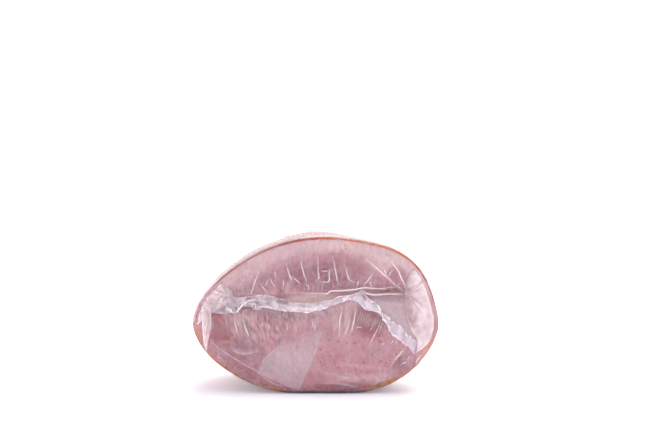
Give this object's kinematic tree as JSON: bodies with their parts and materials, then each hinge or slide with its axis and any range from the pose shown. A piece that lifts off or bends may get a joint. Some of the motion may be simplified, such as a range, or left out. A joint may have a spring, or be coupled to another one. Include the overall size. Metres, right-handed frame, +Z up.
{
  "type": "smoked ham",
  "caption": "Half of a boneless smoked ham in tight clear film, cut face upright, with a sealed fin folded across the face and gathered film at its ends.",
  "frame": {"origin": "middle of the footprint box, on the surface that the ham rests on", "axes": "+X along the long way of the cut face, to the right as the cut face is seen; +Y from the cut face towards the shank end; +Z up"},
  "size_m": [0.2094, 0.1524, 0.1341],
  "materials": {
    "ham_in_film": "cured pork seen through glossy clear shrink film"
  },
  "bodies": {
    "root": {"bagged_ham": "ham_in_film"}
  },
  "joints": []
}
